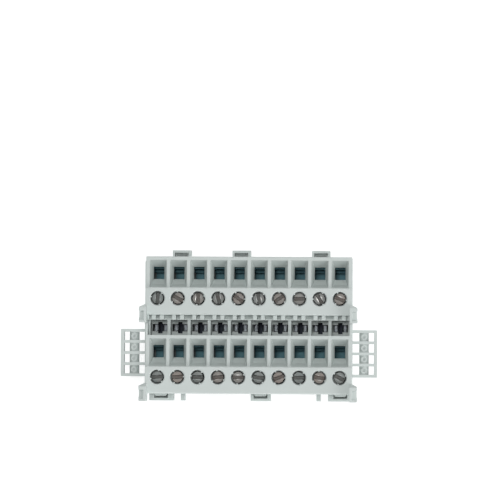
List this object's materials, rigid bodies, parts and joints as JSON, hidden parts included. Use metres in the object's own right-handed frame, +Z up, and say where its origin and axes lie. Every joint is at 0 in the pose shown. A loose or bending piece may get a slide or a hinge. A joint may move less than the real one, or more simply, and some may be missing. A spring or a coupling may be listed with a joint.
{
  "type": "feed-through terminal block",
  "caption": "Two-row screw terminal block in pale plastic with wire funnels, contact pits, marker ladders and a snap foot for a top-hat rail.",
  "frame": {"origin": "under the middle of the block, on the plane of the feet", "axes": "+X along the poles from left to right in the picture, +Y to the rear wall, +Z up out of the screw decks"},
  "size_m": [0.066, 0.0392, 0.0435],
  "materials": {
    "housing_plastic": "fine matte moulding",
    "base_plastic": "fine matte moulding",
    "bar_tin": "tin plated",
    "screw_steel": "nickel plated, turned",
    "yoke_steel": "zinc plated, stamped"
  },
  "bodies": {
    "block": {"housing": "housing_plastic", "rail_base": "base_plastic", "bar_01": "bar_tin", "bar_02": "bar_tin", "bar_03": "bar_tin", "bar_04": "bar_tin", "bar_05": "bar_tin", "bar_06": "bar_tin", "bar_07": "bar_tin", "bar_08": "bar_tin", "bar_09": "bar_tin", "bar_10": "bar_tin"},
    "screw_a01": {"screw_a01": "screw_steel"},
    "yoke_a01": {"yoke_a01": "yoke_steel"},
    "screw_a02": {"screw_a02": "screw_steel"},
    "yoke_a02": {"yoke_a02": "yoke_steel"},
    "screw_a03": {"screw_a03": "screw_steel"},
    "yoke_a03": {"yoke_a03": "yoke_steel"},
    "screw_a04": {"screw_a04": "screw_steel"},
    "yoke_a04": {"yoke_a04": "yoke_steel"},
    "screw_a05": {"screw_a05": "screw_steel"},
    "yoke_a05": {"yoke_a05": "yoke_steel"},
    "screw_a06": {"screw_a06": "screw_steel"},
    "yoke_a06": {"yoke_a06": "yoke_steel"},
    "screw_a07": {"screw_a07": "screw_steel"},
    "yoke_a07": {"yoke_a07": "yoke_steel"},
    "screw_a08": {"screw_a08": "screw_steel"},
    "yoke_a08": {"yoke_a08": "yoke_steel"},
    "screw_a09": {"screw_a09": "screw_steel"},
    "yoke_a09": {"yoke_a09": "yoke_steel"},
    "screw_a10": {"screw_a10": "screw_steel"},
    "yoke_a10": {"yoke_a10": "yoke_steel"},
    "screw_b01": {"screw_b01": "screw_steel"},
    "yoke_b01": {"yoke_b01": "yoke_steel"},
    "screw_b02": {"screw_b02": "screw_steel"},
    "yoke_b02": {"yoke_b02": "yoke_steel"},
    "screw_b03": {"screw_b03": "screw_steel"},
    "yoke_b03": {"yoke_b03": "yoke_steel"},
    "screw_b04": {"screw_b04": "screw_steel"},
    "yoke_b04": {"yoke_b04": "yoke_steel"},
    "screw_b05": {"screw_b05": "screw_steel"},
    "yoke_b05": {"yoke_b05": "yoke_steel"},
    "screw_b06": {"screw_b06": "screw_steel"},
    "yoke_b06": {"yoke_b06": "yoke_steel"},
    "screw_b07": {"screw_b07": "screw_steel"},
    "yoke_b07": {"yoke_b07": "yoke_steel"},
    "screw_b08": {"screw_b08": "screw_steel"},
    "yoke_b08": {"yoke_b08": "yoke_steel"},
    "screw_b09": {"screw_b09": "screw_steel"},
    "yoke_b09": {"yoke_b09": "yoke_steel"},
    "screw_b10": {"screw_b10": "screw_steel"},
    "yoke_b10": {"yoke_b10": "yoke_steel"}
  },
  "joints": [
    {"name": "screw_a01_turn", "type": "hinge", "parent": "block", "child": "screw_a01", "pos_m": [-0.0234, 0.00683, 0.0379], "axis": [0, 0, -1], "range_deg": [0, 600]},
    {"name": "yoke_a01_tilt", "type": "hinge", "parent": "block", "child": "yoke_a01", "pos_m": [-0.0234, 0.01043, 0.0306], "axis": [-1, 0, 0], "range_deg": [0, 12]},
    {"name": "screw_a02_turn", "type": "hinge", "parent": "block", "child": "screw_a02", "pos_m": [-0.0182, 0.00683, 0.0379], "axis": [0, 0, -1], "range_deg": [0, 600]},
    {"name": "yoke_a02_tilt", "type": "hinge", "parent": "block", "child": "yoke_a02", "pos_m": [-0.0182, 0.01043, 0.0306], "axis": [-1, 0, 0], "range_deg": [0, 12]},
    {"name": "screw_a03_turn", "type": "hinge", "parent": "block", "child": "screw_a03", "pos_m": [-0.013, 0.00683, 0.0379], "axis": [0, 0, -1], "range_deg": [0, 600]},
    {"name": "yoke_a03_tilt", "type": "hinge", "parent": "block", "child": "yoke_a03", "pos_m": [-0.013, 0.01043, 0.0306], "axis": [-1, 0, 0], "range_deg": [0, 12]},
    {"name": "screw_a04_turn", "type": "hinge", "parent": "block", "child": "screw_a04", "pos_m": [-0.0078, 0.00683, 0.0379], "axis": [0, 0, -1], "range_deg": [0, 600]},
    {"name": "yoke_a04_tilt", "type": "hinge", "parent": "block", "child": "yoke_a04", "pos_m": [-0.0078, 0.01043, 0.0306], "axis": [-1, 0, 0], "range_deg": [0, 12]},
    {"name": "screw_a05_turn", "type": "hinge", "parent": "block", "child": "screw_a05", "pos_m": [-0.0026, 0.00683, 0.0379], "axis": [0, 0, -1], "range_deg": [0, 600]},
    {"name": "yoke_a05_tilt", "type": "hinge", "parent": "block", "child": "yoke_a05", "pos_m": [-0.0026, 0.01043, 0.0306], "axis": [-1, 0, 0], "range_deg": [0, 12]},
    {"name": "screw_a06_turn", "type": "hinge", "parent": "block", "child": "screw_a06", "pos_m": [0.0026, 0.00683, 0.0379], "axis": [0, 0, -1], "range_deg": [0, 600]},
    {"name": "yoke_a06_tilt", "type": "hinge", "parent": "block", "child": "yoke_a06", "pos_m": [0.0026, 0.01043, 0.0306], "axis": [-1, 0, 0], "range_deg": [0, 12]},
    {"name": "screw_a07_turn", "type": "hinge", "parent": "block", "child": "screw_a07", "pos_m": [0.0078, 0.00683, 0.0379], "axis": [0, 0, -1], "range_deg": [0, 600]},
    {"name": "yoke_a07_tilt", "type": "hinge", "parent": "block", "child": "yoke_a07", "pos_m": [0.0078, 0.01043, 0.0306], "axis": [-1, 0, 0], "range_deg": [0, 12]},
    {"name": "screw_a08_turn", "type": "hinge", "parent": "block", "child": "screw_a08", "pos_m": [0.013, 0.00683, 0.0379], "axis": [0, 0, -1], "range_deg": [0, 600]},
    {"name": "yoke_a08_tilt", "type": "hinge", "parent": "block", "child": "yoke_a08", "pos_m": [0.013, 0.01043, 0.0306], "axis": [-1, 0, 0], "range_deg": [0, 12]},
    {"name": "screw_a09_turn", "type": "hinge", "parent": "block", "child": "screw_a09", "pos_m": [0.0182, 0.00683, 0.0379], "axis": [0, 0, -1], "range_deg": [0, 600]},
    {"name": "yoke_a09_tilt", "type": "hinge", "parent": "block", "child": "yoke_a09", "pos_m": [0.0182, 0.01043, 0.0306], "axis": [-1, 0, 0], "range_deg": [0, 12]},
    {"name": "screw_a10_turn", "type": "hinge", "parent": "block", "child": "screw_a10", "pos_m": [0.0234, 0.00683, 0.0379], "axis": [0, 0, -1], "range_deg": [0, 600]},
    {"name": "yoke_a10_tilt", "type": "hinge", "parent": "block", "child": "yoke_a10", "pos_m": [0.0234, 0.01043, 0.0306], "axis": [-1, 0, 0], "range_deg": [0, 12]},
    {"name": "screw_b01_turn", "type": "hinge", "parent": "block", "child": "screw_b01", "pos_m": [-0.0234, -0.01337, 0.0379], "axis": [0, 0, -1], "range_deg": [0, 600]},
    {"name": "yoke_b01_tilt", "type": "hinge", "parent": "block", "child": "yoke_b01", "pos_m": [-0.0234, -0.00978, 0.0306], "axis": [-1, 0, 0], "range_deg": [0, 12]},
    {"name": "screw_b02_turn", "type": "hinge", "parent": "block", "child": "screw_b02", "pos_m": [-0.0182, -0.01337, 0.0379], "axis": [0, 0, -1], "range_deg": [0, 600]},
    {"name": "yoke_b02_tilt", "type": "hinge", "parent": "block", "child": "yoke_b02", "pos_m": [-0.0182, -0.00978, 0.0306], "axis": [-1, 0, 0], "range_deg": [0, 12]},
    {"name": "screw_b03_turn", "type": "hinge", "parent": "block", "child": "screw_b03", "pos_m": [-0.013, -0.01337, 0.0379], "axis": [0, 0, -1], "range_deg": [0, 600]},
    {"name": "yoke_b03_tilt", "type": "hinge", "parent": "block", "child": "yoke_b03", "pos_m": [-0.013, -0.00978, 0.0306], "axis": [-1, 0, 0], "range_deg": [0, 12]},
    {"name": "screw_b04_turn", "type": "hinge", "parent": "block", "child": "screw_b04", "pos_m": [-0.0078, -0.01337, 0.0379], "axis": [0, 0, -1], "range_deg": [0, 600]},
    {"name": "yoke_b04_tilt", "type": "hinge", "parent": "block", "child": "yoke_b04", "pos_m": [-0.0078, -0.00978, 0.0306], "axis": [-1, 0, 0], "range_deg": [0, 12]},
    {"name": "screw_b05_turn", "type": "hinge", "parent": "block", "child": "screw_b05", "pos_m": [-0.0026, -0.01337, 0.0379], "axis": [0, 0, -1], "range_deg": [0, 600]},
    {"name": "yoke_b05_tilt", "type": "hinge", "parent": "block", "child": "yoke_b05", "pos_m": [-0.0026, -0.00978, 0.0306], "axis": [-1, 0, 0], "range_deg": [0, 12]},
    {"name": "screw_b06_turn", "type": "hinge", "parent": "block", "child": "screw_b06", "pos_m": [0.0026, -0.01337, 0.0379], "axis": [0, 0, -1], "range_deg": [0, 600]},
    {"name": "yoke_b06_tilt", "type": "hinge", "parent": "block", "child": "yoke_b06", "pos_m": [0.0026, -0.00978, 0.0306], "axis": [-1, 0, 0], "range_deg": [0, 12]},
    {"name": "screw_b07_turn", "type": "hinge", "parent": "block", "child": "screw_b07", "pos_m": [0.0078, -0.01337, 0.0379], "axis": [0, 0, -1], "range_deg": [0, 600]},
    {"name": "yoke_b07_tilt", "type": "hinge", "parent": "block", "child": "yoke_b07", "pos_m": [0.0078, -0.00978, 0.0306], "axis": [-1, 0, 0], "range_deg": [0, 12]},
    {"name": "screw_b08_turn", "type": "hinge", "parent": "block", "child": "screw_b08", "pos_m": [0.013, -0.01337, 0.0379], "axis": [0, 0, -1], "range_deg": [0, 600]},
    {"name": "yoke_b08_tilt", "type": "hinge", "parent": "block", "child": "yoke_b08", "pos_m": [0.013, -0.00978, 0.0306], "axis": [-1, 0, 0], "range_deg": [0, 12]},
    {"name": "screw_b09_turn", "type": "hinge", "parent": "block", "child": "screw_b09", "pos_m": [0.0182, -0.01337, 0.0379], "axis": [0, 0, -1], "range_deg": [0, 600]},
    {"name": "yoke_b09_tilt", "type": "hinge", "parent": "block", "child": "yoke_b09", "pos_m": [0.0182, -0.00978, 0.0306], "axis": [-1, 0, 0], "range_deg": [0, 12]},
    {"name": "screw_b10_turn", "type": "hinge", "parent": "block", "child": "screw_b10", "pos_m": [0.0234, -0.01337, 0.0379], "axis": [0, 0, -1], "range_deg": [0, 600]},
    {"name": "yoke_b10_tilt", "type": "hinge", "parent": "block", "child": "yoke_b10", "pos_m": [0.0234, -0.00978, 0.0306], "axis": [-1, 0, 0], "range_deg": [0, 12]}
  ],
  "couplings": [
    {"joint": "yoke_a01_tilt", "follows": "screw_a01_turn", "ratio": 0.02},
    {"joint": "yoke_a02_tilt", "follows": "screw_a02_turn", "ratio": 0.02},
    {"joint": "yoke_a03_tilt", "follows": "screw_a03_turn", "ratio": 0.02},
    {"joint": "yoke_a04_tilt", "follows": "screw_a04_turn", "ratio": 0.02},
    {"joint": "yoke_a05_tilt", "follows": "screw_a05_turn", "ratio": 0.02},
    {"joint": "yoke_a06_tilt", "follows": "screw_a06_turn", "ratio": 0.02},
    {"joint": "yoke_a07_tilt", "follows": "screw_a07_turn", "ratio": 0.02},
    {"joint": "yoke_a08_tilt", "follows": "screw_a08_turn", "ratio": 0.02},
    {"joint": "yoke_a09_tilt", "follows": "screw_a09_turn", "ratio": 0.02},
    {"joint": "yoke_a10_tilt", "follows": "screw_a10_turn", "ratio": 0.02},
    {"joint": "yoke_b01_tilt", "follows": "screw_b01_turn", "ratio": 0.02},
    {"joint": "yoke_b02_tilt", "follows": "screw_b02_turn", "ratio": 0.02},
    {"joint": "yoke_b03_tilt", "follows": "screw_b03_turn", "ratio": 0.02},
    {"joint": "yoke_b04_tilt", "follows": "screw_b04_turn", "ratio": 0.02},
    {"joint": "yoke_b05_tilt", "follows": "screw_b05_turn", "ratio": 0.02},
    {"joint": "yoke_b06_tilt", "follows": "screw_b06_turn", "ratio": 0.02},
    {"joint": "yoke_b07_tilt", "follows": "screw_b07_turn", "ratio": 0.02},
    {"joint": "yoke_b08_tilt", "follows": "screw_b08_turn", "ratio": 0.02},
    {"joint": "yoke_b09_tilt", "follows": "screw_b09_turn", "ratio": 0.02},
    {"joint": "yoke_b10_tilt", "follows": "screw_b10_turn", "ratio": 0.02}
  ]
}
